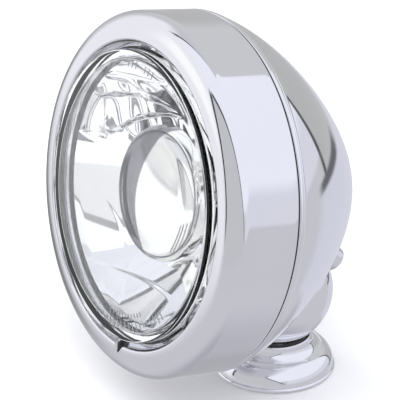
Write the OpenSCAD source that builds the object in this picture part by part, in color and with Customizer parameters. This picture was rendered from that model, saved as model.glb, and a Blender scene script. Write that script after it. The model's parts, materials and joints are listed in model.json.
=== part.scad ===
// Round fog light on a ball-and-cup foot.
// Origin: centre of the foot's underside. +Z is up, and the lamp shines towards -Y.
// Inside in_lamp(), the origin is the centre of the lens opening, +Z shines forward and +Y is up.

/* [Trim ring] */
// Outer radius of the ring
ring_r = 57.5; // [57:0.1:58.5]
// Length of the ring from its opening back to the seam
ring_len = 23.1; // [22.5:0.1:24]
// Radial width of the rolled front face
lip_w = 8.6; // [8.4:0.1:8.8]
// Depth of the rolled front face
lip_h = 5.3; // [5:0.1:5.6]

/* [Housing bowl] */
// Length of the bowl's curve behind the seam
bowl_len = 57.2; // [56:0.1:58.5]
// Squareness of the bowl's curve at the shoulder
bowl_p = 1.354; // [1.33:0.001:1.38]
// Fullness of the bowl's curve towards the back
bowl_q = 1.441; // [1.42:0.001:1.46]

/* [Aim and foot] */
// Nose-up angle of the lamp at rest
aim = 9.8; // [8:0.1:11]
// Height of the swivel centre above the foot's underside
pivot_h = 29; // [28.8:0.1:29.3]
// Swivel centre's distance below the lamp axis
pivot_drop = 36.7; // [36.5:0.1:37]
// Swivel centre's distance behind the lens opening
pivot_back = 62.9; // [62.7:0.1:63.2]
// Radius of the foot's flange
foot_r = 20.6; // [20:0.1:22]

/* [Lens] */
// Height of the lens dome above its rim
lens_dome = 3.6; // [3:0.1:4]
// How far the lens rim stands proud of the ring
lens_proud = 1.7; // [1.4:0.1:2]

/* [Hidden] */

$fn = 96;
hair = 0.1;             // gap between pieces that rest on each other
far = 60;               // length of a cut that goes right through

// ring and lens
ring_wall = 1.2;
opening_r = ring_r - lip_w;
notch_w = 3.9;
notch_h = 2;
notch_turn = -82;       // just beside six o'clock
lens_r = opening_r - 3.2;
lens_wall = 3.2;
lens_round = 0.8;
lens_flange_r = opening_r + 2.6;
lens_flange_z = -3.5;
lens_back = -7.2;
gasket_h = 2;

// reflector, a paraboloid with a flange in front and a collar behind
refl_z = -36;
refl_hole_r = 8.5;
refl_r = 43;
refl_front = lens_back - hair;
refl_wall = 2;
refl_flange_r = opening_r + 4.6;
refl_flange_h = 1.4;
collar_r = 13;
collar_back = -39.2;
bulb_seat = -38;
bulb_flange_r = 9.8;

// housing and seam
seam_z = -ring_len - 0.5;
neck_r = ring_r - ring_wall - 0.3;
neck_wall = 1.2;
neck_front = -14;
bowl_wall = 1.4;
cap_r = 26;             // the bowl's curve ends in a round cap inside this radius
rim_screw_z = -18.5;

// swivel
leg_r = 19;
leg_lean = 45;          // the leg leaves the bowl square to its skin
nut_r = 9;
nut_gap = 0.2;
thread_r = 3.4;         // core of an M8 thread
exit_lean = 5;          // the exit cone leans forward, for more travel nose-down
exit_r = 7.6;
leg_screw_off = 13.2;
leg_screw_seat = 9.3;   // height of the screws' heads above the swivel centre
cup_r = leg_r + 1.3;
washer_in = leg_r + 0.15;
washer_out = cup_r - 0.15;
neck_top_r = 12.4;
neck_top_z = pivot_h - sqrt(cup_r * cup_r - neck_top_r * neck_top_r);
throat_r = 4.2;         // hollow curve from the flange up to the neck
foot_bore_r = 4.3;
boss_r = 8;
pad_r = 18;
pad_h = 1.8;

// bulb and its wire clip
glass_r = 4.8;
glass_wall = 0.9;
glass_tip = -17;
coil_x = 1.6;
coil_z = -25;
base_front = -31;
base_back = -44;
lead_r = 1.2;
lead_bend = 5;
clip_wire = 0.6;
clip_bend = 1.5;         // of the wire's corners
clip_x = 6.5;
clip_pin_x = 12.6;
clip_hinge_y = -15;
clip_top_y = 12;
clip_z = collar_back - clip_wire - 0.15;
block_y = -29;
block_front = -33;
block_back = -41;

// shield
shield_r = 21.4;
shield_rim = -8.8;
shield_rise = 2.4;       // of the face, above its own edge
shield_roll = 5;         // radius of the rounded shoulder between face and skirt
shield_skirt = 7.7;
shield_edge = shield_rim - shield_skirt;
shield_wall = 0.8;
bracket_turn = -52;
bracket_w = 9;
bracket_foot_r = 32;    // where the bracket stands on the reflector

// cable gland
gland_drop = 18.9;      // below the lamp axis
gland_lean = 144.8;     // from straight forward, so it points back and down
gland_len = 16.5;
gland_r = 4.4;
gland_flange_r = 6.6;
gland_inside = 7;       // length of thread inside the bowl
gland_bore_r = 3.2;
grommet_r = 2.2;

function arc(c, rx, ry, a0, a1, n = 10) =
  [for (i = [0:n]) let (a = a0 + (a1 - a0) * i / n) [c[0] + rx * cos(a), c[1] + ry * sin(a)]];

// the bowl's curve: (r / radius)^q + (depth / length)^p = 1
function bowl_depth(r, radius, length) =
  length * pow(1 - pow(r / radius, bowl_q), 1 / bowl_p);
// slope of that curve, as the angle between its normal and the lamp axis
function bowl_lean(r, radius, length) =
  atan((bowl_depth(r - 0.01, radius, length) - bowl_depth(r + 0.01, radius, length)) / 0.02);

// outline of the bowl from its shoulder to its back, ending in a round cap that is tangent to it
function bowl_outline(radius, length, cap) = let (
    lean = bowl_lean(cap, radius, length),
    cap_ball = cap / sin(lean),
    centre = seam_z - bowl_depth(cap, radius, length) + cap_ball * cos(lean),
    last = acos(pow(cap / radius, bowl_q / 2)),
    n = 18)
  concat(
    [for (i = [0:n]) let (a = last * i / n)
      [radius * pow(cos(a), 2 / bowl_q), seam_z - length * pow(sin(a), 2 / bowl_p)]],
    [for (i = [1:8]) let (a = lean * (1 - i / 8)) [cap_ball * sin(a), centre - cap_ball * cos(a)]]);

function refl_depth(r) =
  refl_z + (r * r - refl_hole_r * refl_hole_r) / (refl_r * refl_r - refl_hole_r * refl_hole_r)
  * (refl_front - refl_z);
function bowl_back(r) = let (
    lean = bowl_lean(cap_r, ring_r, bowl_len),
    cap_ball = cap_r / sin(lean),
    centre = seam_z - bowl_depth(cap_r, ring_r, bowl_len) + cap_ball * cos(lean))
  centre - sqrt(cap_ball * cap_ball - r * r);

module in_lamp() {
  translate([0, 0, pivot_h]) rotate([90 - aim, 0, 0]) translate([0, pivot_drop, pivot_back])
    children();
}
module at_leg() {
  translate([0, -pivot_drop, -pivot_back]) rotate([-leg_lean, 0, 0]) children();
}
module at_gland() {
  translate([0, -gland_drop, bowl_back(gland_drop)]) rotate([gland_lean, 0, 0]) children();
}
module turned(points) { rotate_extrude() polygon(points); }
// a stretch of a turned shape, centred on the angle turn
module turned_part(points, turn, width) {
  rotate([0, 0, turn - width / 2]) rotate_extrude(angle = width) polygon(points);
}
module rod(from, to, r) {
  d = to - from;
  translate(from) rotate([0, acos(d[2] / norm(d)), atan2(d[1], d[0])]) cylinder(h = norm(d), r = r);
}
module wire(path, r) {
  for (i = [1:len(path) - 1]) rod(path[i - 1], path[i], r);
  for (p = path) translate(p) sphere(r * 1.1);
}
module bowl_solid() {
  turned(concat([[0, seam_z]], bowl_outline(ring_r, bowl_len, cap_r)));
}

// outside of the gland, grown for a clearance cut
module gland_body(grow = 0) {
  translate([0, 0, -gland_inside]) cylinder(h = gland_len + gland_inside, r = gland_r + grow);
  translate([0, 0, -2]) cylinder(h = 5 + grow, r = gland_flange_r + grow);
  translate([0, 0, 3 + grow]) cylinder(h = 1.4, r1 = gland_flange_r + grow, r2 = gland_r + grow);
}

// ---- foot ----
module foot() {
  color("silver") turned(concat(
    [[foot_bore_r, 0], [boss_r, 0], [boss_r, pad_h + hair], [pad_r + 0.2, pad_h + hair],
     [pad_r + 0.2, 0.3]],
    arc([foot_r - 0.7, 1], 0.7, 0.7, -90, 90, 8),
    arc([foot_r - 6.4, 1.8], 5.9, 6.4, 0, 70, 10),
    arc([neck_top_r + throat_r, neck_top_z - 0.3], throat_r, throat_r, 262, 180, 8),
    arc([0, pivot_h], cup_r, cup_r, -acos(neck_top_r / cup_r), -acos(foot_bore_r / cup_r), 10)));
}
module foot_pad() {
  color("#1c1c1e") turned([[boss_r + 0.2, 0], [pad_r, 0], [pad_r, pad_h], [boss_r + 0.2, pad_h]]);
}
module ball_nut() {
  color("#b9a25a") translate([0, 0, pivot_h]) difference() {
    sphere(nut_r);
    cylinder(h = far, r = thread_r, center = true);
  }
}
module seat_washer() {
  color("#141416") turned(concat(
    arc([0, pivot_h], washer_in, washer_in, -65, -54, 8),
    arc([0, pivot_h], washer_out, washer_out, -55, -66, 8)));
}

// ---- leg ----
module leg_screw_places() {
  for (turn = [30, 150, 270]) rotate([0, 0, turn]) translate([leg_screw_off, 0, 0]) children();
}
module mount_leg() {
  color("silver") in_lamp() difference() {
    translate([0, -pivot_drop, -pivot_back]) sphere(leg_r);
    bowl_solid();
    at_leg() {
      sphere(nut_r + nut_gap);
      cylinder(h = far, r = nut_r + nut_gap);
      leg_screw_places() translate([0, 0, -4]) cylinder(h = far, r = 1.5);
    }
    translate([0, -pivot_drop, -pivot_back]) rotate([90 + aim - exit_lean, 0, 0])
      cylinder(h = leg_r + 1, r1 = 4, r2 = exit_r);
    at_gland() gland_body(hair * 2);
  }
}
module leg_screws() {
  color("gray") in_lamp() at_leg() leg_screw_places() {
    translate([0, 0, -3.5]) cylinder(h = leg_screw_seat + 3.5, r = 1.45);
    translate([0, 0, leg_screw_seat]) cylinder(h = 1.8, r = 2.7);
  }
}

// ---- housing ----
module housing() {
  color("silver") in_lamp() difference() {
    turned(concat(
      [[neck_r - neck_wall, neck_front], [neck_r, neck_front], [neck_r, seam_z]],
      bowl_outline(ring_r, bowl_len, cap_r),
      [for (i = [0:26]) bowl_outline(neck_r - neck_wall, bowl_len - bowl_wall, cap_r)[26 - i]]));
    at_leg() {
      cylinder(h = far, r = nut_r + 1.4, center = true);
      leg_screw_places() cylinder(h = far / 2, r = 1.7);
    }
    at_gland() cylinder(h = 30, r = gland_r + hair, center = true);
    translate([0, 0, rim_screw_z]) rotate([90, 0, 0]) {
      cylinder(h = far, r = 2.1);
      translate([0, 0, neck_r - 0.4]) cylinder(h = 5, r = 3.8);
    }
    translate([0, 0, seam_z + 4]) rotate([0, -90, 0]) cylinder(h = neck_r - 0.4, r = 1.6);
  }
}
module housing_seal() {
  color("#101012") in_lamp()
    turned([[neck_r + hair, seam_z + hair / 2], [ring_r - 0.4, seam_z + hair / 2],
            [ring_r - 0.4, -ring_len - hair / 2], [neck_r + hair, -ring_len - hair / 2]]);
}

// ---- front ring ----
module trim_ring() {
  color("silver") in_lamp() difference() {
    turned(concat(
      arc([opening_r, -lip_h], lip_w, lip_h, 90, 0, 14),
      [[ring_r, -ring_len], [ring_r - ring_wall, -ring_len]],
      arc([opening_r, -lip_h], lip_w - ring_wall, lip_h - ring_wall, 0, 90, 14)));
    rotate([0, 0, notch_turn]) translate([opening_r - 1, 0, -3]) linear_extrude(4)
      polygon([[0, -notch_w * 0.75], [notch_h + 1, 0], [0, notch_w * 0.75]]);
    translate([0, 0, rim_screw_z]) rotate([90, 0, 0]) cylinder(h = far, r = 3.8);
  }
}
module top_hook() {
  color("gainsboro") in_lamp() turned_part([
    [neck_r + 0.25, neck_front + 1.7], [neck_r + 0.25, neck_front + 0.4],
    [neck_r - neck_wall - 0.3, neck_front + 0.4], [neck_r - neck_wall - 0.3, neck_front - 4],
    [neck_r - neck_wall - 1.4, neck_front - 4], [neck_r - neck_wall - 1.4, neck_front + 1.7]], 90, 12);
}
module rim_screw() {
  color("silver") in_lamp() translate([0, 0, rim_screw_z]) rotate([90, 0, 0]) difference() {
    union() {
      translate([0, 0, 49]) cylinder(h = neck_r - 49 - hair, r = 1.95);
      translate([0, 0, neck_r - 0.3]) cylinder(h = ring_r - neck_r + 0.1, r = 3.6);
    }
    translate([0, 0, ring_r]) cube([8, 0.9, 1.8], center = true);
  }
}
module rim_nut() {
  color("gray") in_lamp() translate([0, 0, rim_screw_z]) rotate([90, 0, 0]) difference() {
    translate([-4, -4, neck_r - neck_wall - 3.8]) cube([8, 8, 3.2]);
    cylinder(h = far, r = 1.7);
  }
}

// ---- lens ----
// a shallow dome: its edge radius, rise and the height of its edge
function dome(r, rise, z, n = 12) = let (ball = (r * r + rise * rise) / (2 * rise))
  [for (i = [0:n]) let (x = r * i / n) [x, z + rise - ball + sqrt(ball * ball - x * x)]];
module lens_gasket() {
  color("#161618") in_lamp()
    turned([[lens_r + 0.1, lens_flange_z], [lens_flange_r - hair, lens_flange_z],
            [lens_flange_r - hair, lens_flange_z + gasket_h], [lens_r + 0.1, lens_flange_z + gasket_h]]);
}
module lens() {
  inner = dome(lens_r - lens_wall, lens_dome - 0.6, -1.6);
  color([0.85, 0.9, 0.92, 0.35]) in_lamp() turned(concat(
    dome(lens_r - lens_round, lens_dome, lens_proud),
    arc([lens_r - lens_round, lens_proud - lens_round], lens_round, lens_round, 80, 0, 5),
    [[lens_r, lens_flange_z], [lens_flange_r, lens_flange_z], [lens_flange_r, lens_back],
     [lens_r - lens_wall, lens_back]],
    [for (i = [0:12]) inner[12 - i]]));
}
module lens_clips() {
  front = refl_front - refl_flange_h - hair;
  color("gainsboro") in_lamp() for (turn = [30, 150, 210, 330]) turned_part([
    [refl_flange_r - 4, front], [refl_flange_r - 4, front - 0.9], [neck_r - 1, front - 0.9],
    [neck_r - 1, front - 4.4], [neck_r + 0.2, front - 4.4], [neck_r + 0.2, front]], turn, 11);
}

// ---- reflector and shield ----
module reflector() {
  n = 14;
  rs = [for (i = [0:n]) refl_hole_r + (refl_r - refl_hole_r) * i / n];
  color("whitesmoke") in_lamp() {
    turned(concat(
      [for (r = rs) [r, refl_depth(r)]],
      [[refl_flange_r, refl_front], [refl_flange_r, refl_front - refl_flange_h],
       [refl_r + 1, refl_front - refl_flange_h]],
      [for (i = [0:n - 2]) [rs[n - i], refl_depth(rs[n - i]) - refl_wall]],
      [[collar_r, refl_depth(rs[2]) - refl_wall], [collar_r, collar_back],
       [bulb_flange_r + 0.2, collar_back], [bulb_flange_r + 0.2, bulb_seat],
       [refl_hole_r, bulb_seat]]));
    for (x = [-3, 3]) translate([x, clip_hinge_y - 1.5, collar_back + 1.6]) difference() {
      cylinder(h = 3, r = 2.4);
      translate([0, 0, -1]) cylinder(h = 3, r = 1);
    }
    translate([0, clip_top_y + 4.4, collar_back + 0.8]) cylinder(h = 4, r = 2.6);
    translate([-5, block_y - 1, block_front + hair])
      cube([10, 4, refl_depth(26) - 0.5 - block_front]);
  }
}
module bulb_shield() {
  face_r = shield_r - shield_roll;
  top = shield_rim - shield_roll;      // height of the shoulder's centre
  inner = dome(face_r, shield_rise, shield_rim - shield_wall);
  color("whitesmoke") in_lamp() turned(concat(
    dome(face_r, shield_rise, shield_rim),
    arc([face_r, top], shield_roll, shield_roll, 75, 0, 6),
    [[shield_r, shield_edge], [shield_r - shield_wall, shield_edge]],
    arc([face_r, top], shield_roll - shield_wall, shield_roll - shield_wall, 0, 75, 6),
    [for (i = [0:12]) inner[12 - i]]));
}
// a bent strip from the shield's skirt to a pad on the reflector
module shield_bracket() {
  tab = refl_depth(bracket_foot_r);
  color("whitesmoke") in_lamp() rotate([0, 0, bracket_turn]) {
    translate([0, bracket_w / 2, 0]) rotate([90, 0, 0]) linear_extrude(bracket_w)
      polygon([[shield_r + hair, shield_edge + 3.5], [shield_r + 1.1, shield_edge + 3.5],
        [shield_r + 1.1, shield_edge + 0.3], [bracket_foot_r - 3, tab + 3.4],
        [bracket_foot_r + 2.6, tab + 3.4], [bracket_foot_r + 2.6, tab + 2.4],
        [bracket_foot_r - 3.4, tab + 2.4], [shield_r + hair, shield_edge - 0.5]]);
    translate([bracket_foot_r, 0, tab - 1]) cylinder(h = 4, r = 2.4);
  }
}
module shield_rivets() {
  color("gainsboro") in_lamp() rotate([0, 0, bracket_turn]) {
    translate([bracket_foot_r, 0, refl_depth(bracket_foot_r) + 3.5]) intersection() {
      sphere(2.2);
      cylinder(h = 2, r = 1.9);
    }
    for (y = [-2.6, 2.6]) translate([shield_r + 1.1, y, shield_edge + 1.7]) rotate([0, 90, 0])
      intersection() {
        translate([0, 0, -0.7]) sphere(1.7);
        cylinder(h = 2, r = 1.5);
      }
  }
}

// ---- bulb ----
module bulb_base() {
  color("lightgray") in_lamp() turned([[0, base_front], [5.6, base_front], [5.6, -34], [7.4, -35],
    [7.4, bulb_seat - hair], [bulb_flange_r, bulb_seat - hair], [bulb_flange_r, collar_back + hair],
    [4.6, collar_back + hair], [4.6, base_back], [0, base_back]]);
}
module bulb_glass() {
  inside = glass_r - glass_wall;
  color([0.9, 0.93, 0.95, 0.4]) in_lamp() turned(concat(
    [[inside, base_front + hair], [glass_r, base_front + hair]],
    arc([0, glass_tip - glass_r], glass_r, glass_r, 0, 90, 10),
    arc([0, glass_tip - glass_r], inside, inside, 90, 0, 10)));
}
module bulb_filament() {
  color("gray") in_lamp() {
    wire([[-coil_x, 0, base_front + 0.4], [-coil_x, 0, coil_z], [coil_x, 0, coil_z],
      [coil_x, 0, base_front + 0.4]], 0.25);
    translate([-1.4, 0, coil_z]) rotate([0, 90, 0]) cylinder(h = 2.8, r = 0.6);
  }
}
module bulb_lead() {
  bend = base_back - hair - 3;
  low = block_y + lead_bend;
  color("#202022") in_lamp() {
    translate([0, 0, bend]) cylinder(h = 3, r = lead_r);
    translate([0, -lead_bend, bend]) rotate([0, 90, 0])
      rotate_extrude(angle = 90) translate([lead_bend, 0]) circle(lead_r);
    rod([0, -lead_bend, bend - lead_bend], [0, low, bend - lead_bend], lead_r);
    translate([0, low, bend]) rotate([0, 90, 0]) rotate([0, 0, -90])
      rotate_extrude(angle = 90) translate([lead_bend, 0]) circle(lead_r);
    rod([0, block_y, bend], [0, block_y, block_back], lead_r);
  }
}
module terminal_block() {
  color("#e8e4d8") in_lamp() difference() {
    translate([-8, block_y - 4, block_back + hair]) cube([16, 8, block_front - block_back - hair]);
    for (x = [-4.5, 4.5]) translate([x, block_y, block_back]) cylinder(h = 6, r = 1.6, center = true);
  }
}
module terminal_screws() {
  color("#b9a25a") in_lamp() for (x = [-4.5, 4.5])
    translate([x, block_y + 4 + hair, block_back + 4]) rotate([-90, 0, 0]) difference() {
      cylinder(h = 1.2, r = 1.9);
      translate([0, 0, 1.2]) cube([5, 0.7, 1.2], center = true);
    }
}
module earth_terminal() {
  color("#b9a25a") in_lamp() difference() {
    translate([-neck_r + neck_wall + 0.6, -3.15, seam_z - 1]) union() {
      cube([0.8, 6.3, 9]);
      cube([8, 6.3, 0.8]);
    }
    translate([0, 0, seam_z + 4]) rotate([0, -90, 0]) cylinder(h = far, r = 1.6);
  }
}
module earth_screw() {
  color("gray") in_lamp() translate([-neck_r + neck_wall + 1.5, 0, seam_z + 4]) rotate([0, 90, 0]) {
    cylinder(h = 1.8, r = 2.6);
    translate([0, 0, -2.2]) cylinder(h = 2.3, r = 1.5);
  }
}

// ---- bulb clip: a bent wire that swings on two eyes ----
module clip_hinge() {
  color("gainsboro") in_lamp() difference() {
    union() {
      translate([-12, clip_hinge_y - 3.5, collar_back + 0.5]) cube([24, 4, 1]);
      for (x = [-12, 8.6]) translate([x, clip_hinge_y, clip_z]) rotate([0, 90, 0]) cylinder(h = 3.4, r = 1.7);
      for (x = [-12, 8.6]) translate([x, clip_hinge_y - 1.7, clip_z]) cube([3.4, 2.2, 2]);
    }
    translate([-13, clip_hinge_y, clip_z]) rotate([0, 90, 0]) cylinder(h = 26, r = clip_wire + 0.08);
    for (x = [-3, 3]) translate([x, clip_hinge_y - 1.5, collar_back]) cylinder(h = 3, r = 1.1);
  }
}
module clip_screws() {
  color("gray") in_lamp() for (x = [-3, 3]) translate([x, clip_hinge_y - 1.5, 0]) {
    translate([0, 0, collar_back - 0.7]) cylinder(h = 1.1, r = 1.7);
    translate([0, 0, collar_back + 0.3]) cylinder(h = 2.3, r = 0.95);
  }
}
module clip_catch() {
  color("gainsboro") in_lamp() {
    translate([-4, clip_top_y + 1.4, collar_back - 0.4]) cube([8, 5.6, 1.1]);
    translate([-4, clip_top_y + 1.4, collar_back - 2.2]) cube([8, 0.9, 2]);
  }
}
module bulb_clip() {
  r = clip_wire;
  b = clip_bend;
  color("lightgray") in_lamp() translate([0, 0, clip_z]) {
    for (side = [-1, 1]) {
      rod([side * clip_pin_x, clip_hinge_y, 0], [side * (clip_x + b), clip_hinge_y, 0], r);
      rod([side * clip_x, clip_hinge_y + b, 0], [side * clip_x, clip_top_y - b, 0], r);
      translate([side * (clip_x + b), clip_hinge_y + b, 0]) rotate([0, 0, side < 0 ? -90 : 180])
        rotate_extrude(angle = 90) translate([b, 0]) circle(r);
      translate([side * (clip_x - b), clip_top_y - b, 0]) rotate([0, 0, side < 0 ? 90 : 0])
        rotate_extrude(angle = 90) translate([b, 0]) circle(r);
    }
    rod([-clip_x + b, clip_top_y, 0], [clip_x - b, clip_top_y, 0], r);
  }
}

// ---- cable gland ----
module cable_gland() {
  color("silver") in_lamp() difference() {
    at_gland() gland_body();
    at_gland() cylinder(h = far, r = gland_bore_r, center = true);
    difference() {
      bowl_solid();
      at_gland() cylinder(h = 40, r = gland_r, center = true);
    }
  }
}
module gland_nut() {
  color("gray") in_lamp() at_gland() difference() {
    translate([0, 0, -6.3]) cylinder(h = 2.8, r = 7.2, $fn = 6);
    cylinder(h = far, r = gland_r + hair, center = true);
  }
}
module cable_grommet() {
  color("#18181a") in_lamp() at_gland() difference() {
    translate([0, 0, 3]) cylinder(h = gland_len - 4, r = gland_bore_r);
    cylinder(h = far, r = grommet_r, center = true);
  }
}

foot();
foot_pad();
ball_nut();
seat_washer();
mount_leg();
leg_screws();
housing();
housing_seal();
trim_ring();
top_hook();
rim_screw();
rim_nut();
lens_gasket();
lens();
lens_clips();
reflector();
bulb_shield();
shield_bracket();
shield_rivets();
bulb_base();
bulb_glass();
bulb_filament();
bulb_lead();
terminal_block();
terminal_screws();
earth_terminal();
earth_screw();
clip_hinge();
clip_screws();
clip_catch();
bulb_clip();
cable_gland();
gland_nut();
cable_grommet();
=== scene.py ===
"""Chrome fog light on a swivel foot: the visual pieces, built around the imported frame.

Two frames are used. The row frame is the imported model's, in metres. The lamp frame is in
millimetres, with its origin at the centre of the lens opening, +Z shining forward and +Y up;
in_row() takes points from the lamp frame to the row frame.
"""

import json
import math

import bmesh
import bpy
import numpy as np
from mathutils import Euler, Matrix, Vector


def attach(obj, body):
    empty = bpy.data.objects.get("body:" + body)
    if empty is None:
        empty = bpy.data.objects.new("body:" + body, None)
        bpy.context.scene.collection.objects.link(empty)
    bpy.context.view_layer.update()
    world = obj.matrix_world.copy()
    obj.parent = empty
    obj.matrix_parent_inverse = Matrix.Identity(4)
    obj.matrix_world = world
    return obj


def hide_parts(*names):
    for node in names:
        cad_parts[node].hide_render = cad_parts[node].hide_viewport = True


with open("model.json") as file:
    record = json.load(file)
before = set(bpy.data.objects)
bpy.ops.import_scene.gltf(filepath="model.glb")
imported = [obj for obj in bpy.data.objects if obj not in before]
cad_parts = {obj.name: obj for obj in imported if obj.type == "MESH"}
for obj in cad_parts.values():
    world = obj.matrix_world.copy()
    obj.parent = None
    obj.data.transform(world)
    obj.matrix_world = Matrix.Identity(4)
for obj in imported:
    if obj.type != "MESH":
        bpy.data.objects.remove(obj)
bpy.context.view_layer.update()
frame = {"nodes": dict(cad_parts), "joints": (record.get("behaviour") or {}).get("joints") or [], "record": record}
MM = 0.001
MEETING = 2e-6          # metres; points nearer than this are one point

# ---- sizes, in millimetres, as in the part's source ----
AIM = math.radians(9.8)
PIVOT_DROP, PIVOT_BACK = 36.7, 62.9
RING_R, RING_LEN, RING_WALL = 57.5, 23.1, 1.2
LIP_W, LIP_H = 8.6, 5.3
OPENING_R = RING_R - LIP_W
SEAM_Z = -23.6
BOWL_LEN, BOWL_P, BOWL_Q, CAP_R = 57.2, 1.354, 1.441, 26.0
BOWL_WALL, NECK_WALL = 1.4, 1.2
LENS_R, LENS_PROUD, LENS_DOME, LENS_WALL, LENS_ROUND = 45.7, 1.7, 3.6, 3.2, 0.8
LENS_FLANGE_R, LENS_FLANGE_Z, LENS_BACK = 51.5, -3.5, -7.2
REFL_HOLE_R, REFL_R, REFL_Z, REFL_FRONT = 8.5, 43.0, -36.0, -7.3
SHIELD_R, SHIELD_RIM, SHIELD_RISE, SHIELD_EDGE, SHIELD_ROLL = 21.4, -8.8, 2.4, -16.5, 5.0
LEG_R, CUP_R, FOOT_R, NECK_TOP_R = 19.0, 20.3, 20.6, 12.4

PIVOT = np.array(next(j["pos_m"] for j in frame["joints"] if j["name"] == "tilt")) / MM


# ---- arrays and meshes ----
def in_row(points):
    """Lamp frame to row frame: measured from the swivel centre, forward is turned nose-up by
    the aim about X, then everything is moved to the swivel centre and scaled to metres."""
    points = np.asarray(points, float)
    up, forward = points[..., 1] + PIVOT_DROP, points[..., 2] + PIVOT_BACK
    turned = np.stack([points[..., 0], -forward * math.cos(AIM) + up * math.sin(AIM),
                       forward * math.sin(AIM) + up * math.cos(AIM)], -1)
    return (turned + PIVOT) * MM


def arc(cr, cz, rr, rz, start, end, count=16):
    """Part of an ellipse: centre plus radii times cosine and sine, from start to end degrees."""
    a = np.radians(np.linspace(start, end, count))
    return np.stack([cr + rr * np.cos(a), cz + rz * np.sin(a)], -1)


def line(*corners, step=1.2):
    """Straight runs through the corners, divided into steps of about the given length."""
    corners = np.array(corners, float)
    runs = []
    for a, b in zip(corners[:-1], corners[1:]):
        count = max(2, int(np.linalg.norm(b - a) / step) + 1)
        runs.append(a + (b - a) * np.linspace(0, 1, count)[:, None])
    return np.concatenate(runs)


def joined(*runs):
    """The runs one after another, without points that repeat."""
    points = np.concatenate(runs)
    keep = np.r_[True, np.linalg.norm(np.diff(points, axis=0), axis=1) > 1e-4]
    return points[keep]


def dome(r, rise, z, count=30):
    """Cap of a ball through the rim (r, z) and the top (0, z + rise), from its top outwards."""
    ball = (r * r + rise * rise) / (2 * rise)
    x = r * np.linspace(0, 1, count)
    return np.stack([x, z + rise - ball + np.sqrt(ball * ball - x * x)], -1)


def make_piece(name, points, body, finish, nodes, along=False, sharp=40):
    """A mesh from a grid of points: rows along the profile and columns around it, where the last
    column meets the first. A row whose points all meet is one pole. along joins the last row to
    the first as well."""
    rows, columns = points.shape[:2]
    i, j = np.meshgrid(np.arange(rows if along else rows - 1), np.arange(columns), indexing="ij")
    i2, j2 = (i + 1) % rows, (j + 1) % columns
    quads = np.stack([i * columns + j, i2 * columns + j, i2 * columns + j2, i * columns + j2], -1)
    mesh = bpy.data.meshes.new(name)
    mesh.from_pydata(points.reshape(-1, 3), [], quads.reshape(-1, 4))
    weld(mesh)
    finish_piece(name, mesh, body, finish, nodes, sharp)


def weld(mesh):
    """Joins points that meet, which closes seams and poles, and turns every face outwards."""
    build = bmesh.new()
    build.from_mesh(mesh)
    bmesh.ops.remove_doubles(build, verts=build.verts, dist=MEETING)
    bmesh.ops.dissolve_degenerate(build, edges=build.edges, dist=1e-7)
    bmesh.ops.recalc_face_normals(build, faces=build.faces)
    build.to_mesh(mesh)
    build.free()


def finish_piece(name, mesh, body, finish, nodes, sharp):
    """Shades a mesh smooth up to the sharp angle, and puts it on its body, slot and node."""
    mesh.shade_smooth()
    mesh.set_sharp_from_angle(angle=math.radians(sharp))
    piece = bpy.data.objects.new(name, mesh)
    bpy.context.scene.collection.objects.link(piece)
    mesh.materials.append(finish)
    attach(piece, body)
    if nodes:
        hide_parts(*nodes)


def turned_grid(profile, angles, reach=None):
    """The profile of radius and height, turned about the lamp axis through the angles. reach may
    change the radii: it takes the radius grid and the angle grid."""
    r = np.repeat(profile[:, :1], len(angles), 1)
    a = np.repeat(angles[None], len(profile), 0)
    if reach is not None:
        r = reach(r, a)
    z = np.repeat(profile[:, 1:], len(angles), 1)
    return np.stack([r * np.cos(a), r * np.sin(a), z], -1)


def turns(count):
    """count equal angles of a full turn."""
    return np.linspace(0, 2 * math.pi, count, endpoint=False)


# ---- materials ----
def material(name, color, metallic, rough, rough_spread, tone, scale, bump, fine,
             transmission=0.0, ior=1.5, wear=0.0):
    """A finish with three layers of variation on Object coordinates: broad tone and gloss
    patches, a fine grain in the bump, and rubbed spots that lift the gloss."""
    mat = bpy.data.materials.new(name)
    mat.use_nodes = True
    nodes, links = mat.node_tree.nodes, mat.node_tree.links
    shader = nodes["Principled BSDF"]
    shader.inputs["Metallic"].default_value = metallic
    shader.inputs["IOR"].default_value = ior
    shader.inputs["Transmission Weight"].default_value = transmission
    where = nodes.new("ShaderNodeTexCoord").outputs["Object"]

    def noise(size, detail, distort=0.0):
        made = nodes.new("ShaderNodeTexNoise")
        made.inputs["Scale"].default_value = size
        made.inputs["Detail"].default_value = detail
        made.inputs["Distortion"].default_value = distort
        links.new(where, made.inputs["Vector"])
        return made.outputs["Fac"]

    def spread(value, low, high, start=0.3, end=0.7):
        made = nodes.new("ShaderNodeMapRange")
        made.inputs["From Min"].default_value, made.inputs["From Max"].default_value = start, end
        made.inputs["To Min"].default_value, made.inputs["To Max"].default_value = low, high
        links.new(value, made.inputs["Value"])
        return made.outputs["Result"]

    broad, grain = noise(scale, 4, 0.6), noise(fine, 3)
    mix = nodes.new("ShaderNodeMix")
    mix.data_type = "RGBA"
    mix.inputs["A"].default_value = (*[c * (1 - tone) for c in color], 1)
    mix.inputs["B"].default_value = (*color, 1)
    links.new(spread(broad, 0, 1), mix.inputs["Factor"])
    links.new(mix.outputs["Result"], shader.inputs["Base Color"])
    gloss = spread(broad, rough + rough_spread, rough)
    if wear:
        spots = spread(noise(scale * 4, 6, 1.5), 0, wear, 0.58, 0.72)
        add = nodes.new("ShaderNodeMath")
        links.new(gloss, add.inputs[0])
        links.new(spots, add.inputs[1])
        gloss = add.outputs[0]
    links.new(gloss, shader.inputs["Roughness"])
    raised = nodes.new("ShaderNodeBump")
    raised.inputs["Strength"].default_value = bump
    raised.inputs["Distance"].default_value = 0.0002
    links.new(grain, raised.inputs["Height"])
    links.new(raised.outputs["Normal"], shader.inputs["Normal"])
    return mat


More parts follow.
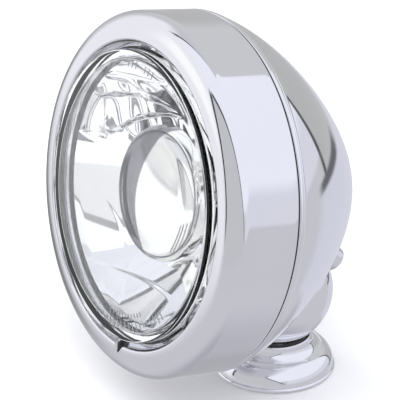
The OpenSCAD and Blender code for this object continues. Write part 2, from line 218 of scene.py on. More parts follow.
chrome = material("bright_chrome", (0.87, 0.875, 0.90), 1.0, 0.035, 0.03, 0.02, 35, 0.012, 500,
                  wear=0.05)
rubber = material("moulded_rubber", (0.022, 0.022, 0.024), 0, 0.62, 0.15, 0.3, 300, 0.35, 2500)
seal = material("oiled_seal", (0.10, 0.10, 0.105), 0, 0.3, 0.15, 0.5, 260, 0.3, 1500)
nylon = material("black_nylon", (0.016, 0.016, 0.018), 0, 0.4, 0.12, 0.2, 200, 0.15, 2200)
brass = material("turned_brass", (0.72, 0.56, 0.28), 1.0, 0.22, 0.12, 0.15, 250, 0.2, 1800,
                 wear=0.15)
zinc = material("zinc_plate", (0.62, 0.62, 0.63), 1.0, 0.28, 0.14, 0.12, 250, 0.2, 1800, wear=0.15)
spring = material("spring_steel", (0.66, 0.66, 0.66), 1.0, 0.2, 0.1, 0.08, 250, 0.12, 1800,
                  wear=0.1)
mirror = material("silvered_mirror", (0.95, 0.95, 0.955), 1.0, 0.02, 0.03, 0.015, 50, 0.02, 400)
shield_plate = material("shield_plate", (0.84, 0.84, 0.825), 1.0, 0.06, 0.05, 0.02, 60, 0.02, 500)
socket_metal = material("stamped_metal", (0.74, 0.75, 0.76), 1.0, 0.3, 0.12, 0.1, 300, 0.2, 1800)
wolfram = material("wound_wire", (0.30, 0.30, 0.32), 1.0, 0.4, 0.15, 0.1, 500, 0.1, 2500)
lead_skin = material("lead_cover", (0.03, 0.03, 0.034), 0, 0.45, 0.12, 0.2, 300, 0.15, 2200)
cream = material("cream_moulding", (0.80, 0.77, 0.70), 0, 0.42, 0.12, 0.06, 200, 0.12, 1800)
glass = material("pressed_glass", (0.985, 0.995, 0.99), 0, 0.0, 0.012, 0.01, 60, 0.02, 120,
                 transmission=1.0, ior=1.5)
marks = material("moulded_marks", (0.50, 0.51, 0.50), 0, 0.35, 0.1, 0.1, 400, 0.1, 2500,
                 transmission=0.55, ior=1.5)
quartz = material("clear_quartz", (0.98, 0.985, 0.99), 0, 0.0, 0.015, 0.01, 80, 0.02, 200,
                  transmission=1.0, ior=1.46)


def shade_side(mat, centre, reach, dark, soft=0.5):
    """Darkens a finish outside a circle of the lamp's face, with its centre and radius in lamp
    millimetres: a painted reflection, standing in for the dark side of the room that the real
    plate mirrors. Object coordinates, measured across and up the face, give the distance from the centre."""
    nodes, links = mat.node_tree.nodes, mat.node_tree.links
    shader = nodes["Principled BSDF"]
    where = nodes.new("ShaderNodeTexCoord").outputs["Object"]

    def along(axis, origin):
        dot = nodes.new("ShaderNodeVectorMath")
        dot.operation = "DOT_PRODUCT"
        dot.inputs[1].default_value = axis
        links.new(where, dot.inputs[0])
        off = nodes.new("ShaderNodeMath")
        off.operation = "SUBTRACT"
        off.inputs[1].default_value = origin
        links.new(dot.outputs["Value"], off.inputs[0])
        return off.outputs[0]

    rise = (0.0, math.sin(AIM), math.cos(AIM))
    level = (PIVOT[2] * math.cos(AIM) + PIVOT_DROP + centre[1]) * MM
    flat = nodes.new("ShaderNodeCombineXYZ")
    links.new(along((1.0, 0.0, 0.0), centre[0] * MM), flat.inputs["X"])
    links.new(along(rise, level), flat.inputs["Y"])
    length = nodes.new("ShaderNodeVectorMath")
    length.operation = "LENGTH"
    links.new(flat.outputs[0], length.inputs[0])
    mask = nodes.new("ShaderNodeMapRange")
    mask.interpolation_type = "SMOOTHSTEP"
    mask.inputs["From Min"].default_value = (reach - soft) * MM
    mask.inputs["From Max"].default_value = (reach + soft) * MM
    links.new(length.outputs["Value"], mask.inputs["Value"])
    mix = nodes.new("ShaderNodeMix")
    mix.data_type = "RGBA"
    mix.inputs["B"].default_value = (*dark, 1)
    links.new(mask.outputs["Result"], mix.inputs["Factor"])
    links.new(shader.inputs["Base Color"].links[0].from_socket, mix.inputs["A"])
    links.new(mix.outputs["Result"], shader.inputs["Base Color"])


# painted reflection: the bulb cap's plate is darkened outside a circle, for the dark side of the room it mirrors
shade_side(shield_plate, centre=(36.0, 1.5), reach=40.0, dark=(0.19, 0.19, 0.21))

SLOT_FINISH = {
    "chrome": chrome, "black_rubber": rubber, "seat_plastic": nylon, "brass": brass,
    "plated_steel": zinc, "spring_steel": spring, "lens_glass": glass, "bulb_quartz": quartz,
    "reflector_silver": mirror, "shield_chrome": shield_plate, "bulb_metal": socket_metal,
    "tungsten": wolfram, "lead_cover": lead_skin, "terminal_body": cream}


# ---- camera ----
def add_camera():
    """Looks from the lamp's right front and above, from 0.7 m, turned until the lamp stands
    left of the middle as it should."""
    turn, rise, away, focal = math.radians(59.67), math.radians(25.62), 0.700, 203.35
    pan, nod = math.radians(-1.78), math.radians(-0.10)
    centre = Vector(in_row([0.0, 0.0, 0.0]))
    back = Vector((math.sin(turn) * math.cos(rise), -math.cos(turn) * math.cos(rise),
                   math.sin(rise)))
    data = bpy.data.cameras.new("view")
    data.lens, data.sensor_width = focal, 36.0
    data.clip_start, data.clip_end = 0.01, 50
    view = bpy.data.objects.new("view", data)
    bpy.context.scene.collection.objects.link(view)
    view.matrix_world = (Matrix.Translation(centre + back * away)
                         @ Euler((math.pi / 2 - rise, 0, turn)).to_matrix().to_4x4()
                         @ Matrix.Rotation(pan, 4, "Y") @ Matrix.Rotation(nod, 4, "X"))
    bpy.context.scene.camera = view


add_camera()


# ---- chrome shell ----
def trim_ring():
    """Rolled ring: a quarter ellipse in front, a straight band, and a hemmed edge at the opening.
    Near the drain notch the radius is pushed out to the notch's two sloping sides."""
    notch_turn, notch_w, notch_h = math.radians(-82), 3.9, 2.0
    inner = RING_R - RING_WALL
    profile = joined(
        arc(OPENING_R, -LIP_H, LIP_W, LIP_H, 90, 0, 44),
        line((RING_R, -LIP_H), (RING_R, -RING_LEN + 0.45)),
        arc(RING_R - 0.45, -RING_LEN + 0.45, 0.45, 0.45, 0, -90, 7),
        line((RING_R - 0.45, -RING_LEN), (inner, -RING_LEN), (inner, -LIP_H), step=2),
        arc(OPENING_R + 1.2, -LIP_H, LIP_W - RING_WALL - 1.2, LIP_H - RING_WALL, 0, 90, 20),
        line((OPENING_R - 0.2, -1.8), (OPENING_R - 2.2, -2.95), step=0.4),
        line((OPENING_R - 2.55, -2.7), (OPENING_R - 1.2, -1.5), (OPENING_R - 0.75, -0.75),
             step=0.3),
        arc(OPENING_R, -0.75, 0.75, 0.75, 180, 90, 12))
    fine = notch_turn + np.radians(np.linspace(-3.2, 3.2, 41))
    angles = np.unique(np.round(np.r_[turns(300), fine % (2 * math.pi)], 5))

    def reach(r, a):
        off = np.abs((a - notch_turn + math.pi) % (2 * math.pi) - math.pi) * OPENING_R
        side = OPENING_R + notch_h * (1 - off / (notch_w / 2))
        return np.maximum(r, np.where(off < notch_w / 2 + 1.2, side, 0))

    make_piece("rolled_ring", in_row(turned_grid(profile, angles, reach)), "head",
               chrome, ["trim_ring"], along=True)


def bowl_curve(radius, length, count):
    """The bowl's outline from its shoulder to its back: radius share to the power q plus depth
    share to the power p is one, with a round cap that meets it at the cap radius."""
    def depth(r):
        return length * (1 - (r / radius) ** BOWL_Q) ** (1 / BOWL_P)
    lean = math.atan((depth(CAP_R - 0.01) - depth(CAP_R + 0.01)) / 0.02)
    ball = CAP_R / math.sin(lean)
    centre = SEAM_Z - depth(CAP_R) + ball * math.cos(lean)
    last = math.acos((CAP_R / radius) ** (BOWL_Q / 2))
    a = np.linspace(0, last, count)
    side = np.stack([radius * np.cos(a) ** (2 / BOWL_Q),
                     SEAM_Z - length * np.sin(a) ** (2 / BOWL_P)], -1)
    b = np.linspace(lean, 0, count // 3)[1:]
    cap = np.stack([ball * np.sin(b), centre - ball * np.cos(b)], -1)
    return np.concatenate([side, cap])


def bowl():
    """A closed shell: the neck that the ring slides on, a rolled shoulder, the bowl's curve to
    its back, and the same curve inside."""
    neck_r = RING_R - RING_WALL - 0.3
    inner_r, front = neck_r - NECK_WALL, -14.0
    outside = bowl_curve(RING_R, BOWL_LEN, 80)
    inside = bowl_curve(inner_r, BOWL_LEN - BOWL_WALL, 30)
    neck = line((inner_r, front - 0.2), (neck_r - 0.2, front), (neck_r, front - 0.2),
                (neck_r, SEAM_Z + 0.2), step=2)
    shoulder = joined(line((neck_r, SEAM_Z + 0.1), (RING_R - 0.8, SEAM_Z), step=0.5),
                      arc(RING_R - 0.8, SEAM_Z - 0.8, 0.8, 0.8, 90, -32, 16),
                      arc(RING_R + 0.09, SEAM_Z - 1.63, 0.3, 0.45, 150, 200, 5))
    profile = joined(inside[::-1], neck, shoulder, outside[outside[:, 1] < SEAM_Z - 2.0])
    make_piece("deep_bowl", in_row(turned_grid(profile, turns(256))), "head", chrome,
               ["housing"])


def bowl_depth_of(points):
    """How far points of the lamp frame lie inside the bowl's outline, measured as one minus
    the two powers' sum; it is zero on the curve and positive inside."""
    r = np.hypot(points[..., 0], points[..., 1]) / RING_R
    d = np.maximum((SEAM_Z - points[..., 2]) / BOWL_LEN, 0)
    return 1 - r ** BOWL_Q - d ** BOWL_P


def leg():
    """A ball about the swivel centre, with the bolt's way out below. Rays from the centre stop
    at the ball, or just inside the bowl's skin where they reach that first, which halving the
    span of radii 30 times finds."""
    lean, count, exit_r, sunk = AIM - math.radians(5), 192, 7.3, 0.012
    a, p = np.meshgrid(turns(count), np.linspace(math.asin(exit_r / LEG_R), math.pi, 130))
    way = np.stack([np.sin(p) * np.cos(a), np.sin(p) * np.sin(a), -np.cos(p)], -1)
    # the exit's lean about X, then the row frame's directions in the lamp frame
    way = way @ np.array([[1, 0, 0], [0, math.cos(lean), math.sin(lean)],
                          [0, -math.sin(lean), math.cos(lean)]])
    way = way @ np.array([[1, 0, 0], [0, math.sin(AIM), -math.cos(AIM)],
                          [0, math.cos(AIM), math.sin(AIM)]])
    centre = np.array([0, -PIVOT_DROP, -PIVOT_BACK])
    low, high = np.zeros(a.shape), np.full(a.shape, LEG_R)
    whole = bowl_depth_of(centre + way * LEG_R) <= sunk
    for _ in range(30):
        middle = (low + high) / 2
        outside = bowl_depth_of(centre + way * middle[..., None]) <= sunk
        low, high = np.where(outside, middle, low), np.where(outside, high, middle)
    shell = centre + way * np.where(whole, LEG_R, low)[..., None]
    inner = centre + (shell[0] - centre) * np.array([0.55, 0.7, 0.85, 0.985])[:, None, None]
    bottom = np.repeat(inner[:1].mean(1, keepdims=True), count, 1)
    make_piece("leg_ball", in_row(np.concatenate([bottom, inner, shell])), "head",
               chrome, ["mount_leg"])


def foot():
    """A flared casting turned about the bolt: a rolled rim, a domed flange, a hollow throat and
    a cup for the swivel."""
    bore, boss, pad_top, pad_edge = 4.3, 8.0, 1.9, 18.2
    throat, lip = 4.2, 0.35
    cup_top, cup_low = math.acos((NECK_TOP_R - lip) / CUP_R), math.acos(bore / CUP_R)
    top = PIVOT[2] - CUP_R * math.sin(cup_top)
    profile = joined(
        line((bore, 0), (boss, 0), (boss, pad_top), (pad_edge, pad_top), (pad_edge, 0.3)),
        arc(FOOT_R - 0.7, 1.0, 0.7, 0.7, -90, 90, 14),
        arc(FOOT_R - 6.4, 1.8, 5.9, 6.4, 0, 70, 34),
        arc(NECK_TOP_R + throat, top - 0.9, throat, throat, 262, 180, 26),
        arc(NECK_TOP_R - lip, top - lip - 0.1, lip, lip, 0, 80, 6),
        arc(0, PIVOT[2], CUP_R, CUP_R, -math.degrees(cup_top), -math.degrees(cup_low), 16),
        line((bore, PIVOT[2] - math.sqrt(CUP_R ** 2 - bore ** 2)), (bore, 0)))
    points = turned_grid(profile[:-1], turns(192)) * MM
    make_piece("flared_foot", points, "foot", chrome, ["foot"], along=True)


def washer():
    """A ring of the ball's own curve, between the ball and the cup."""
    inner_r, outer_r = LEG_R + 0.15, CUP_R - 0.15
    profile = joined(arc(0, PIVOT[2], inner_r, inner_r, -65, -54, 12),
                     arc(0, PIVOT[2], outer_r, outer_r, -55, -66, 12))
    make_piece("seat_ring", turned_grid(profile, turns(128)) * MM, "swivel", nylon,
               ["seat_washer"], along=True)


# ---- lens ----
def lens():
    """Thick pressed glass: a domed front with a rounded rim, a flange, and a shallower dome
    inside."""
    rim, inner_r, hollow_z, fillet = LENS_R - LENS_ROUND, LENS_R - LENS_WALL, -2.2, 0.6
    profile = joined(
        dome(rim, LENS_DOME, LENS_PROUD, 60),
        arc(rim, LENS_PROUD - LENS_ROUND, LENS_ROUND, LENS_ROUND, 80, 0, 10),
        line((LENS_R, 0.9), (LENS_R, LENS_FLANGE_Z), (LENS_FLANGE_R, LENS_FLANGE_Z),
             (LENS_FLANGE_R, LENS_BACK), (inner_r, LENS_BACK), (inner_r, hollow_z)),
        arc(inner_r - fillet, hollow_z, fillet, fillet, 0, 80, 8),
        dome(inner_r - fillet, LENS_DOME - 0.6, hollow_z + fillet, 50)[::-1])
    make_piece("domed_lens", in_row(turned_grid(profile, turns(256))), "head",
               glass, ["lens"])


def lens_marks():
    """Raised moulding marks on the glass: plain radial ticks in two rows at the lower rim, and
    two groups of bars and a dot at the top. Each is a capsule along a radius, half sunk in
    the dome; its half width falls to nothing at both ends."""
    low = np.arange(-97, -39, 3.1)
    inner = np.arange(-84, -56, 2.7)
    turn = np.radians(np.r_[low, inner, 102, 99, 96, 89, 86, 83, 72])
    start = np.r_[np.full(len(low), 39.0), np.full(len(inner), 36.2), np.full(6, 40.3), 42.6]
    end = start + np.r_[2.7 + 0.8 * np.cos(low * 1.7), np.full(len(inner), 1.5), np.full(6, 2.6),
                        0.6]
    s = np.linspace(0, 1, 13)[None, :, None]
    a = turns(10)[None, None]
    r = start[:, None, None] + (end - start)[:, None, None] * s
    half = 0.23 * np.sqrt(np.clip(1 - np.abs(2 * s - 1) ** 5, 0, 1))
    rim = LENS_R - LENS_ROUND
    ball = (rim ** 2 + LENS_DOME ** 2) / (2 * LENS_DOME)
    z = LENS_PROUD + LENS_DOME - ball + np.sqrt(ball ** 2 - r ** 2) + half * 0.9 * np.sin(a)
    across = half * np.cos(a)
    t = turn[:, None, None]
    points = np.stack([r * np.cos(t) - across * np.sin(t), r * np.sin(t) + across * np.cos(t), z],
                      -1)
    ticks, rows, columns = points.shape[:3]
    k, i, j = np.meshgrid(np.arange(ticks), np.arange(rows - 1), np.arange(columns),
                          indexing="ij")
    base, j2 = k * rows * columns + i * columns, (j + 1) % columns
    quads = np.stack([base + j, base + j2, base + columns + j2, base + columns + j], -1)
    mesh = bpy.data.meshes.new("lens_marks")
    mesh.from_pydata(in_row(points).reshape(-1, 3), [], quads.reshape(-1, 4))
    weld(mesh)
    finish_piece("lens_marks", mesh, "head", marks, (), 60)


def gasket():
    """A flat ring of rubber with a raised bead at the glass."""
    inner_r, outer_r, bead, top = LENS_R + 0.1, LENS_FLANGE_R - 0.2, 0.7, -3.05
    profile = joined(line((inner_r, LENS_FLANGE_Z), (outer_r, LENS_FLANGE_Z), (outer_r, top),
                          (inner_r + 2 * bead, top), step=1),
                     arc(inner_r + bead, top, bead, 0.12, 0, 180, 10))
    make_piece("lens_seal", in_row(turned_grid(profile, turns(192))), "head",
               seal, ["lens_gasket"], along=True)


# ---- reflector and bulb shield ----
def paraboloid(r):
    """Depth of the plain mirror: it grows with the radius squared, from the bulb's hole to the
    front."""
    return REFL_Z + (r * r - REFL_HOLE_R ** 2) / (REFL_R ** 2 - REFL_HOLE_R ** 2) \
        * (REFL_FRONT - REFL_Z)


def reflector_face(x, y):
    """Depth of the free-form mirror. A paraboloid carries it. On each side a flat facet lies
    above the middle, a fan of three curved steps rises from beside the bulb, a sloping chord
    cuts off the lower corner, and level chords cut off the top and the bottom."""
    r = np.hypot(x, y)
    base = paraboloid(r)
    side = np.abs(x)
    calm = np.clip((r - 12) / 8, 0, 1) * np.clip((REFL_R - r) / 1.2, 0, 1)

    def share(off, soft):
        part = np.clip(off / soft, 0, 1)
        return part * part * (3 - 2 * part)

    # the fan: bands between curves that run out from beside the bulb
    within = share(side - 16, 6) * share(37.2 - side, 0.6)
    run = np.clip((side - 17) / 19, 0, 1)
    flutes = 0.45 * np.cos(2 * math.pi * (side - 17) / 6.6)
    base = base + calm * within * share(y - 6, 3) * share(30 - y, 3) * flutes
    for start, end, lift in ((17.5, 6.0, 1.5), (19.0, 18.5, 1.6), (20.5, 26.0, 1.4)):
        edge = start + (end - start) * run + 3.0 * np.sin(math.pi * run)
        above = y - edge
        band = share(above, 1.6) * (1 - share(above - 1.6, 9.0))
        base = base + calm * within * lift * band
    # flat facet beyond the fan, and the chords
    facet = share(side - 37.2, 0.5) * share(y - 4 - 0.2 * (side - 37.2), 0.5) * share(24 - y, 0.5)
    flat = -10.7 + 1.05 * (side - 39.5) + 0.30 * (y - 13)
    base = base + share(REFL_R - r, 0.8) * facet * (flat - base) * 0.85
    lower = (-y - 7.5 + 1.0 * (side - 41)) * 0.707
    base = base + calm * (0.12 * share(lower, 0.5) - 0.06 * np.maximum(lower, 0))
    base = base + calm * (0.5 * share(-y - 33, 0.7) - 0.12 * np.maximum(-y - 33, 0))
    base = base + calm * (-0.5 * share(y - 29.5, 0.6) - 0.10 * np.maximum(y - 29.5, 0))
    return base


def reflector():
    """The mirror's face as rings of points, then its flange, its back wall and its collar."""
    rings = np.linspace(REFL_HOLE_R, REFL_R, 150)
    a = turns(420)
    rr, aa = np.meshgrid(rings, a, indexing="ij")
    x, y = rr * np.cos(aa), rr * np.sin(aa)
    face = np.stack([x, y, reflector_face(x, y)], -1)
    back_r = np.linspace(REFL_R, 15, 12)
    back = np.stack([back_r, paraboloid(back_r) - 3.2], -1)
    flange_r, flange_z = 53.5, REFL_FRONT - 1.4
    collar_r, collar_z, seat_r, seat_z = 13, -39.2, 10, -38
    rest = joined(line((REFL_R + 0.6, REFL_FRONT), (flange_r, REFL_FRONT), (flange_r, flange_z),
                       (REFL_R + 1.6, flange_z), step=3), back[1:],
                  line((collar_r, -37.0), (collar_r, collar_z), (seat_r, collar_z),
                       (seat_r, seat_z), (REFL_HOLE_R, seat_z)))
    points = np.concatenate([face, turned_grid(rest, a)])
    make_piece("faceted_mirror", in_row(points), "head", mirror,
               ["reflector"], along=True, sharp=25)


def shield():
    """A cap turned about the lamp axis: a low dome, a round shoulder, a skirt with a rolled
    edge, and the same inside."""
    wall, face_r = 0.8, SHIELD_R - SHIELD_ROLL
    top = SHIELD_RIM - SHIELD_ROLL
    profile = joined(
        dome(face_r, SHIELD_RISE, SHIELD_RIM, 44),
        arc(face_r, top, SHIELD_ROLL, SHIELD_ROLL, 74, 0, 26),
        line((SHIELD_R, top), (SHIELD_R, SHIELD_EDGE + 0.4)),
        arc(SHIELD_R - wall / 2, SHIELD_EDGE + wall / 2, wall / 2, wall / 2, 0, -180, 10),
        arc(face_r, top, SHIELD_ROLL - wall, SHIELD_ROLL - wall, 0, 74, 14),
        dome(face_r, SHIELD_RISE, SHIELD_RIM - wall, 20)[::-1])
    make_piece("bulb_cap", in_row(turned_grid(profile, turns(192))), "head",
               shield_plate, ["bulb_shield"])


trim_ring()
bowl()
leg()
foot()
washer()
lens()
lens_marks()
gasket()
reflector()
shield()


# ---- bulb and gland ----
def bulb():
    """A quartz tube with a round end and a drawn tip."""
    wall, radius, tip = 0.9, 4.8, -17.0
    profile = joined(
        line((0, tip), (0.5, tip - 0.1), step=0.3),
        arc(0, tip - radius, radius, radius, 84, 0, 22),
        line((radius, tip - radius), (radius, -30.9), (radius - wall, -30.9),
             (radius - wall, tip - radius)),
        arc(0, tip - radius, radius - wall, radius - wall, 0, 90, 18))
    make_piece("quartz_tube", in_row(turned_grid(profile, turns(64))), "head",
               quartz, ["bulb_glass"])


def tube_along(path, radius, sides):
    """A round tube carried along a path that never runs along X, with closed ends. Each ring
    lies square to the path there, on two arms: X less its share along the path, and the cross
    product of the path's direction with that arm."""
    ahead = np.gradient(path, axis=0)
    ahead /= np.linalg.norm(ahead, axis=1)[:, None]
    side = np.array([1.0, 0, 0]) - ahead * ahead[:, :1]
    side /= np.linalg.norm(side, axis=1)[:, None]
    a = turns(sides)[None, :, None]
    rings = path[:, None] + radius * (np.cos(a) * side[:, None]
                                      + np.sin(a) * np.cross(ahead, side)[:, None])
    return np.concatenate([np.repeat(path[:1, None], sides, 1), rings,
                           np.repeat(path[-1:, None], sides, 1)])


def filament():
    """Two posts and a wound coil between them: a helix about X, in the lamp frame."""
    wire, coil_r, coil_z, winds, count = 0.16, 0.55, -25, 9, 200
    turn = np.linspace(0, 2 * math.pi * winds, count)
    coil = np.stack([np.linspace(-1.4, 1.4, count), coil_r * np.cos(turn),
                     coil_z + coil_r * np.sin(turn)], -1)
    left = np.linspace([-1.6, 0, -30.6], [-1.6, 0, -25.4], 8)
    path = np.concatenate([left, coil, left[::-1] * [-1, 1, 1]])
    make_piece("wound_filament", in_row(tube_along(path, wire, 8)), "head", wolfram,
               ["bulb_filament"])


def gland():
    """A flange, a cone and a stub turned about the cable's way out, with a bore."""
    turn, drop = math.radians(144.8), 18.9
    way = np.array([0.0, -math.sin(turn), math.cos(turn)])
    across = np.cross([1.0, 0, 0], way)
    curve = bowl_curve(RING_R, BOWL_LEN, 80)
    start = np.array([0, -drop, np.interp(drop, curve[::-1, 0], curve[::-1, 1])])
    profile = joined(
        line((3.2, 16.5), (4.0, 16.5), step=0.4), arc(4.0, 16.1, 0.4, 0.4, 90, 0, 6),
        line((4.4, 16.1), (4.4, 4.6)), arc(4.9, 4.6, 0.5, 0.5, 180, 235, 5),
        line((6.3, 3.2), (6.6, 2.7), (6.6, -1.9), (4.4, -1.9), (4.4, -6.9), (3.2, -6.9),
             (3.2, 16.3)))
    a = turns(72)
    r, h = profile[:, :1, None], profile[:, 1:, None]
    points = start + way * h + r * (np.cos(a)[None, :, None] * np.array([1.0, 0, 0])
                                    + np.sin(a)[None, :, None] * across)
    make_piece("cable_stub", in_row(points), "head", chrome, ["cable_gland"],
               along=True)


bulb()
filament()
gland()


# ---- the other nodes keep their shape: merged, smoothed and given their finish ----
def dress_rest():
    """Every CAD node that is still shown gets its slot's finish; those with round faces are
    copied, merged and shaded smooth."""
    record = frame["record"]
    slots = {s["node"]: s["material_slot"] for s in record["subparts"]}
    body_of = {n: b for b, ns in record["behaviour"]["bodies"].items() for n in ns}
    for name, node in sorted(frame["nodes"].items()):
        finish = SLOT_FINISH[slots[name]]
        node.data.materials.clear()
        node.data.materials.append(finish)
        if node.hide_render:
            continue
        mesh = node.data.copy()
        mesh.name = name + "_made"
        build = bmesh.new()
        build.from_mesh(mesh)
        bmesh.ops.remove_doubles(build, verts=build.verts, dist=MEETING / 2)
        build.to_mesh(mesh)
        build.free()
        mesh.materials.clear()
        finish_piece(name + "_piece", mesh, body_of[name], finish, [name], 32)


dress_rest()


# ---- studio ----
CHROME_SHARE = 0.87     # of the light that falls on it, chrome gives back this share


def linear(value):
    """A display value made linear."""
    return value / 12.92 if value <= 0.04045 else ((value + 0.055) / 1.055) ** 2.4


def add_world():
    """A light tent by direction. Heading 0 faces the lamp's front, 90 its right; each panel is
    a span of heading and height with soft edges, laid over the ones before it."""
    world = bpy.data.worlds.new("tent")
    bpy.context.scene.world = world
    world.use_nodes = True
    nodes, links = world.node_tree.nodes, world.node_tree.links
    nodes.clear()

    def math_node(kind, *values):
        made = nodes.new("ShaderNodeMath")
        made.operation = kind
        for k, value in enumerate(values):
            if isinstance(value, (int, float)):
                made.inputs[k].default_value = value
            else:
                links.new(value, made.inputs[k])
        return made.outputs[0]

    where = nodes.new("ShaderNodeTexCoord").outputs["Generated"]
    split = nodes.new("ShaderNodeSeparateXYZ")
    links.new(where, split.inputs[0])
    x, y, z = split.outputs
    to_degrees = 180 / math.pi
    heading = math_node("MULTIPLY", math_node("ARCTAN2", x, math_node("MULTIPLY", y, -1.0)),
                        to_degrees)
    height = math_node("MULTIPLY", math_node("ARCSINE", z), to_degrees)

    def ramp(value, start, end):
        made = nodes.new("ShaderNodeMapRange")
        made.interpolation_type = "SMOOTHSTEP"
        made.inputs["From Min"].default_value = start
        made.inputs["From Max"].default_value = end
        links.new(value, made.inputs["Value"])
        return made.outputs["Result"]

    def tone(color):
        """The light that a panel gives, so that chrome shows it in the given display colour."""
        return tuple(linear(c) / CHROME_SHARE for c in color) + (1.0,)

    def lay(under, mask, color):
        made = nodes.new("ShaderNodeMix")
        made.data_type = "RGBA"
        made.inputs["B"].default_value = tone(color)
        links.new(mask, made.inputs["Factor"])
        if isinstance(under, tuple):
            made.inputs["A"].default_value = under
        else:
            links.new(under, made.inputs["A"])
        return made.outputs["Result"]

    def span(start, end, low, high, soft, soft_up=None):
        """Mask of a span of heading, which may pass 180, and height."""
        middle, half = (start + end) / 2, (end - start) / 2
        off = math_node("ABSOLUTE", math_node("WRAP", math_node("SUBTRACT", heading, middle),
                                              180.0, -180.0))
        across = ramp(off, half + soft / 2, half - soft / 2)
        rise = soft_up or soft
        upper = ramp(height, high + rise / 2, high - rise / 2)
        lower = ramp(height, low - rise / 2, low + rise / 2)
        return math_node("MULTIPLY", across, math_node("MULTIPLY", upper, lower))

    arch = math_node("SUBTRACT", 43.0, math_node(
        "MULTIPLY", 0.0105, math_node("POWER", math_node("ABSOLUTE", math_node(
            "SUBTRACT", heading, 10.0)), 2.0)))
    over_arch = math_node("SUBTRACT", height, arch)

    color = tone((0.76, 0.76, 0.785))
    # floor side: paler to the right, darker straight down and at the back left
    color = lay(color, ramp(height, -45, -80), (0.66, 0.66, 0.69))
    color = lay(color, span(-160, -75, -75, -36, 30, 16), (0.66, 0.66, 0.68))
    color = lay(color, span(-110, -68, -34, -8, 22, 12), (0.50, 0.50, 0.49))
    # grey wall on the left and behind
    color = lay(color, span(-182, -100, -8, 92, 4, 10), (0.775, 0.775, 0.785))
    color = lay(color, span(-172, -95, -14, 18, 12, 16), (0.70, 0.70, 0.70))
    # white ceiling and right wall
    color = lay(color, span(82, 188.5, -6, 60, 2.4, 2.4), (0.83, 0.83, 0.87))
    color = lay(color, span(-58, 188.5, 12, 92, 2.4, 10), (0.91, 0.915, 0.955))
    color = lay(color, span(188.6, 191.2, -13, 34, 1.4, 6), (0.30, 0.30, 0.31))
    # white panel at the front left
    color = lay(color, span(-84, -23, -18, 42, 18, 16), (0.91, 0.91, 0.93))
    color = lay(color, span(-52, -26, 2, 22, 14, 10), (0.985, 0.985, 0.985))
    # grey wall in front, under an arched edge
    front = math_node("MULTIPLY", span(-20, 82, -12, 60, 2, 8), ramp(over_arch, 1.0, -1.0))
    color = lay(color, front, (0.75, 0.75, 0.765))
    edge = math_node("MULTIPLY", ramp(math_node("ABSOLUTE", over_arch), 2.6, 1.2),
                     span(-19, 79, -4, 60, 2, 6))
    color = lay(color, edge, (0.22, 0.22, 0.24))
    color = lay(color, span(-23, -19.2, -8, 32, 1.2, 6), (0.20, 0.20, 0.21))
    # ceiling's far edge
    color = lay(color, span(-61, -57, 34, 76, 1.5, 10), (0.25, 0.25, 0.26))
    # low bright sheet behind, with its dark hem
    color = lay(color, span(-178, -128, -40, -14, 10, 3), (0.80, 0.80, 0.845))
    color = lay(color, span(-178, -150, -14.6, -11.6, 8, 1.6), (0.40, 0.40, 0.42))

    light = nodes.new("ShaderNodeBackground")
    links.new(color, light.inputs["Color"])
    light.inputs["Strength"].default_value = 1.0
    links.new(light.outputs[0], nodes.new("ShaderNodeOutputWorld").inputs["Surface"])


def add_floor():
    """A wide pale sheet that lies just under the foot. Mirrors see the tent's own floor."""
    mesh = bpy.data.meshes.new("floor")
    reach, low = 4.0, -0.0002
    mesh.from_pydata([(-reach, -reach, low), (reach, -reach, low), (reach, reach, low),
                      (-reach, reach, low)], [], [(0, 1, 2, 3)])
    floor = bpy.data.objects.new("floor", mesh)
    bpy.context.scene.collection.objects.link(floor)
    pale = material("pale_floor", (0.93, 0.93, 0.93), 0, 0.7, 0.05, 0.01, 4, 0.01, 40)
    mesh.materials.append(pale)
    floor.visible_glossy = False


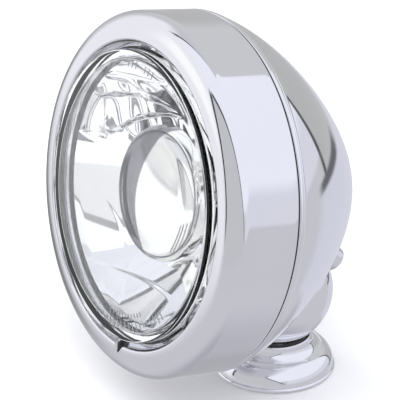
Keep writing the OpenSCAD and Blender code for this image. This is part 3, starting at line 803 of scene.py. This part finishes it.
def add_flags():
    """Grey strips on the floor in front of the lamp, spread like a fan: each is a span of
    heading and of distance from a point below the lens. Only rays that pass the glass meet
    them, so they darken bars of the mirror and show as thin lines in the bulb's cap."""
    shade = material("grey_card", (0.16, 0.16, 0.165), 0, 0.8, 0.05, 0.05, 30, 0.02, 300)
    near, far, below_lens, height = 0.03, 0.22, -0.056, 0.0006
    for number, (start, end) in enumerate(((-4, 5), (14, 24), (37, 46), (58, 68))):
        a = np.radians(np.array([start, start, end, end], float))
        out = np.array([near, far, far, near])
        mesh = bpy.data.meshes.new(f"flag_{number}")
        mesh.from_pydata(np.stack([out * np.sin(a), below_lens - out * np.cos(a),
                                   np.full(4, height)], -1), [], [(0, 1, 2, 3)])
        mesh.materials.append(shade)
        flag = bpy.data.objects.new(f"flag_{number}", mesh)
        bpy.context.scene.collection.objects.link(flag)
        flag.visible_camera = flag.visible_glossy = flag.visible_diffuse = False
        flag.visible_shadow = False


def add_lamps():
    """A soft key from above and right and a fill from the left, for the matt pieces and the
    floor, and a panel for the mirror."""
    for name, place, size, power in (("key", (0.7, -0.5, 1.1), 1.0, 13.0),
                                     ("fill", (-0.9, -0.7, 0.9), 1.2, 8.0)):
        data = bpy.data.lights.new(name, "AREA")
        data.size, data.energy = size, power
        lamp = bpy.data.objects.new(name, data)
        lamp.location = place
        towards = Vector((0, 0, 0.06)) - Vector(place)
        lamp.rotation_euler = towards.to_track_quat("-Z", "Y").to_euler()
        lamp.visible_glossy = False
        lamp.visible_transmission = False
        bpy.context.scene.collection.objects.link(lamp)
    # a white panel in front and to the right, which only rays that pass the glass see
    data = bpy.data.lights.new("panel", "AREA")
    data.shape, data.size, data.size_y, data.energy = "RECTANGLE", 1.2, 1.4, 1.9
    panel = bpy.data.objects.new("panel", data)
    panel.location = (0.62, -0.86, 0.60)
    panel.rotation_euler = Vector((-0.62, 0.80, -0.42)).to_track_quat("-Z", "Y").to_euler()
    panel.visible_glossy = panel.visible_diffuse = False
    bpy.context.scene.collection.objects.link(panel)


add_world()
add_floor()
add_flags()
add_lamps()
bpy.context.scene.view_settings.view_transform = "Standard"
